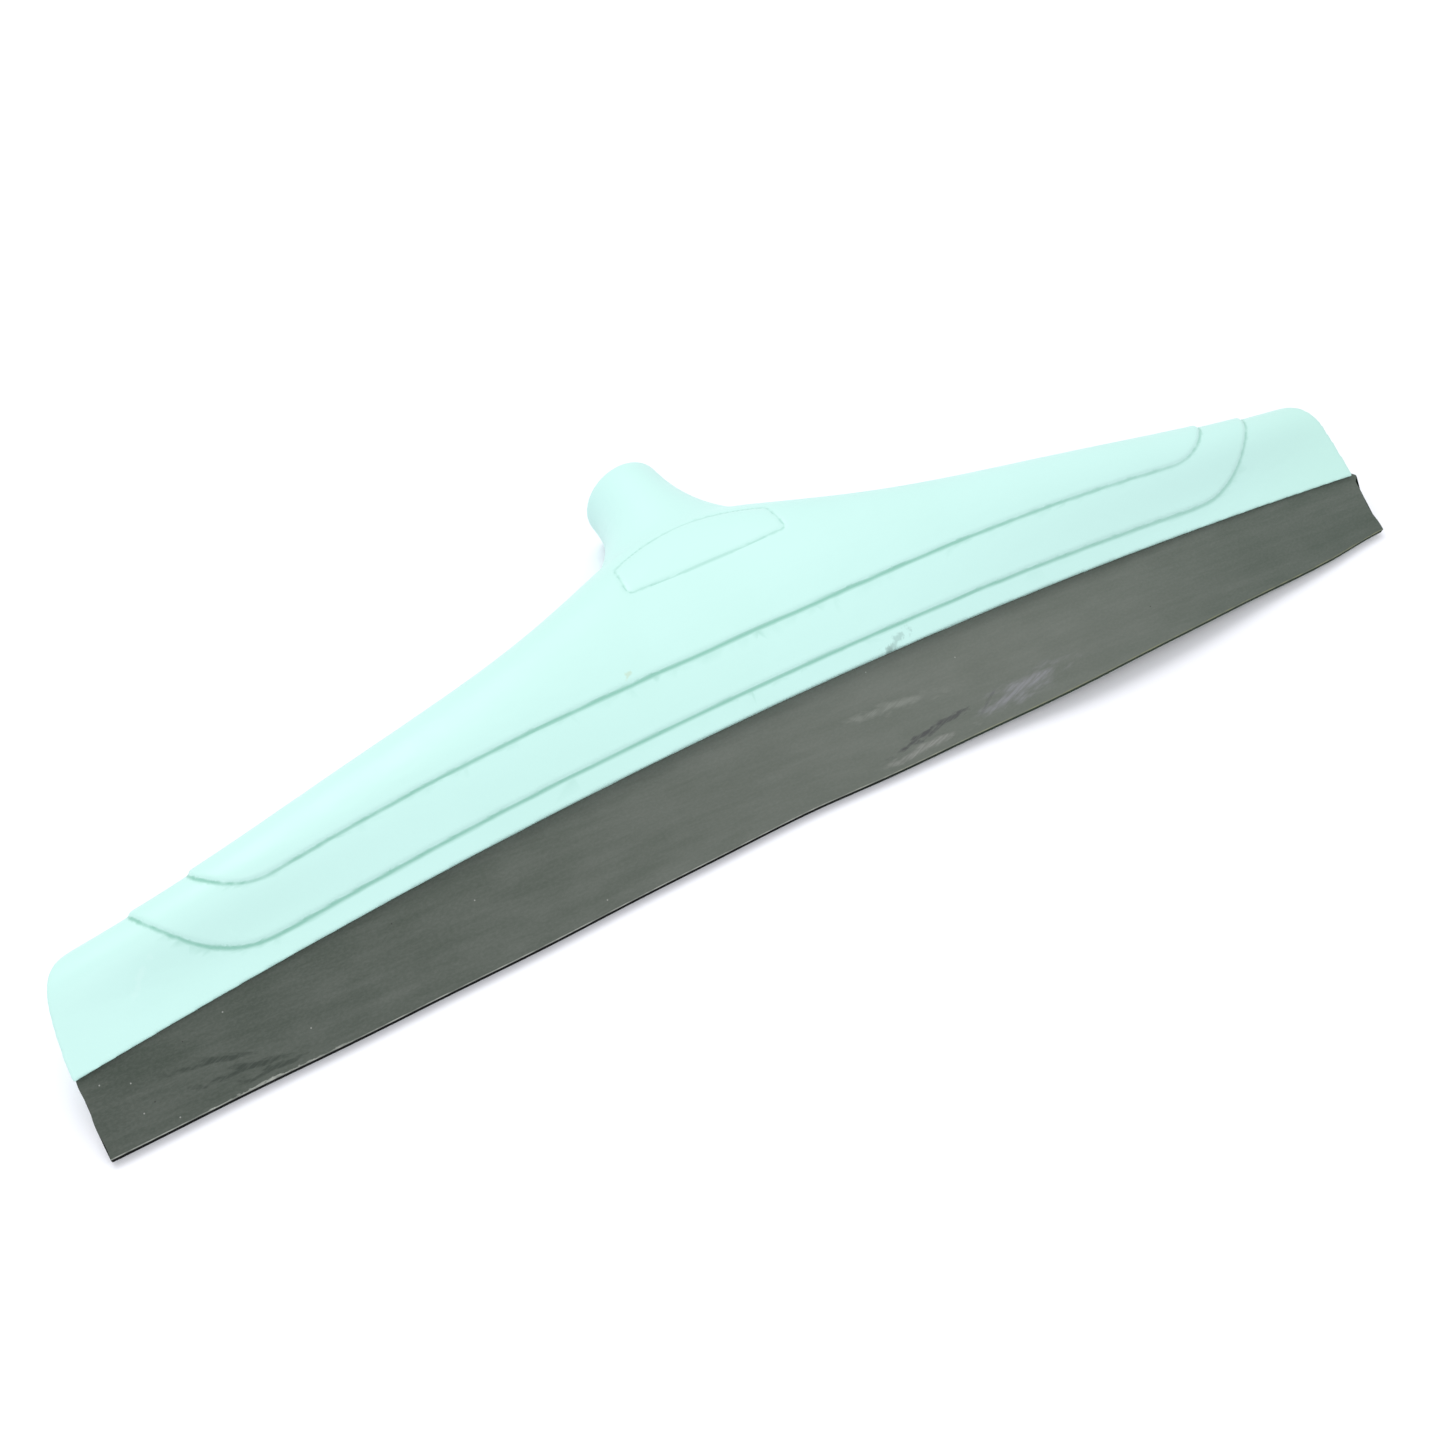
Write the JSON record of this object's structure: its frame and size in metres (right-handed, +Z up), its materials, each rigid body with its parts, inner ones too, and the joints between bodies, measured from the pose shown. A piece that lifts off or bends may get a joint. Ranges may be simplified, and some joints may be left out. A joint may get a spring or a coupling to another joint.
{
  "type": "window cleaning squeegee",
  "caption": "Wide window squeegee head: moulded shell with a flared handle socket, holding a rubber wiping blade in a screwed clamp bar.",
  "frame": {"origin": "in the plane of the table, under the middle of the head's bounding box, with the head lying on its blade's free edge and its socket's rim", "axes": "+X along the blade, +Y from the blade's free edge to the socket's mouth, +Z up"},
  "size_m": [0.44, 0.1324, 0.0391],
  "materials": {
    "mint_plastic": "satin moulded",
    "blade_rubber": "smooth with flow streaks",
    "screw_steel": "zinc plated"
  },
  "bodies": {
    "head": {"head_shell": "mint_plastic", "clamp_bar": "mint_plastic", "blade_root": "blade_rubber", "clamp_screws": "screw_steel"},
    "lip": {"blade_lip": "blade_rubber"}
  },
  "joints": [
    {"name": "lip_flex", "type": "hinge", "parent": "head", "child": "lip", "pos_m": [0, -0.0504, 0.00915], "axis": [1, 0, 0], "range_deg": [-25, 25], "stiffness_Nm_per_rad": 0.3}
  ]
}
